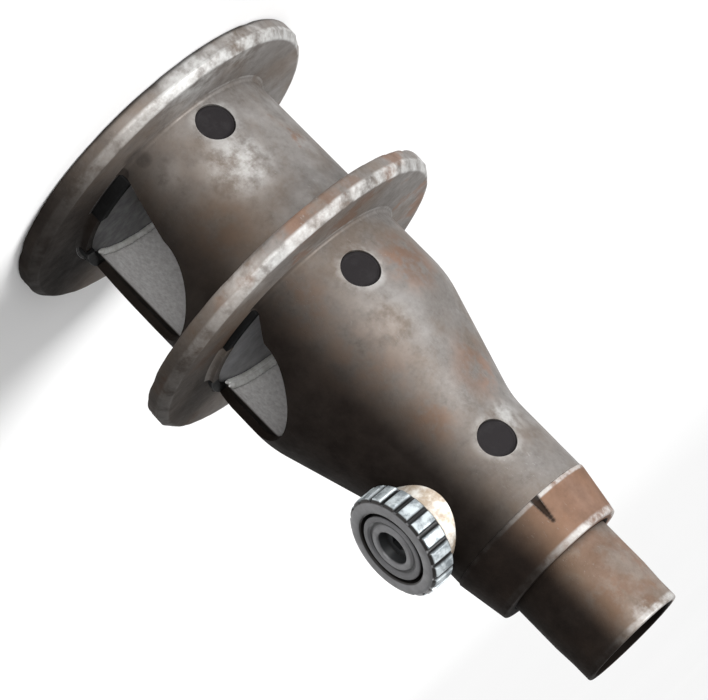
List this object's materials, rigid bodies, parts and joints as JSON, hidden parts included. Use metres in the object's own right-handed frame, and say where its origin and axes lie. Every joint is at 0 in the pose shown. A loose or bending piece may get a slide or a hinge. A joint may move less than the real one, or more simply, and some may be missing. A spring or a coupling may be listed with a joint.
{
  "type": "beam coupling",
  "caption": "Flanged coupling housing with windowed chambers, a tapered neck, a knurled clamping knob and a telescoping nose, around a helically slotted beam element and its shaft.",
  "frame": {"origin": "centre of the rear flange's outer face, at the bottom of the object as it stands on that flange", "axes": "+Z along the coupling's axis from the rear flange to the nose; +X towards the windows and the knob; -Y towards the plugged access holes"},
  "size_m": [0.09, 0.09, 0.167],
  "materials": {
    "housing_steel": "weathered grey-brown steel with patches of rust",
    "collar_steel": "rust-brown steel with bright worn edges",
    "nose_steel": "worn brown-grey steel",
    "bright_steel": "bare bright steel",
    "nickel": "satin nickel plate",
    "dark_cap": "flat dark grey",
    "black_steel": "black oxide",
    "bronze": "plain bearing bronze",
    "beam_alloy": "fine-turned aluminium",
    "seal_rubber": "matt black"
  },
  "bodies": {
    "housing": {"rear_flange": "housing_steel", "rear_end_plate": "housing_steel", "rear_screws": "black_steel", "rear_bush": "bronze", "rear_sleeve": "housing_steel", "rear_keys": "black_steel", "rear_weld": "bright_steel", "mid_flange": "housing_steel", "mid_bush": "bronze", "front_shell": "housing_steel", "mid_keys": "black_steel", "mid_weld": "bright_steel", "access_plugs": "dark_cap", "lock_boss": "bright_steel", "thread_insert": "bronze", "front_collar": "collar_steel", "collar_pin": "bright_steel", "nose_seal": "seal_rubber", "guide_ring": "bronze", "guide_pin": "bright_steel"},
    "drive_line": {"beam_element": "beam_alloy", "grub_screws": "black_steel", "output_shaft": "bright_steel", "shaft_clips": "black_steel", "thrust_washers": "bronze"},
    "nose": {"nose_tube": "nose_steel", "nose_bush": "bronze"},
    "lock_feed": {"swivel_pad": "nickel"},
    "lock_knob": {"lock_screw": "nickel", "knob_rim": "nickel", "knob_hub": "nickel"}
  },
  "joints": [
    {"name": "drive_turn", "type": "hinge", "parent": "housing", "child": "drive_line", "pos_m": [0, 0, 0], "axis": [0, 0, 1], "continuous": true},
    {"name": "nose_slide", "type": "slide", "parent": "housing", "child": "nose", "axis": [0, 0, 1], "range_m": [-0.012, 0.008]},
    {"name": "lock_feed", "type": "slide", "parent": "housing", "child": "lock_feed", "axis": [1, 0, 0], "range_m": [0, 0.00251]},
    {"name": "knob_turn", "type": "hinge", "parent": "lock_feed", "child": "lock_knob", "pos_m": [0, 0, 0.1135], "axis": [1, 0, 0], "range_deg": [0, 720]}
  ],
  "couplings": [
    {"joint": "lock_feed", "follows": "knob_turn", "m_per_rad": 0.00019894}
  ]
}
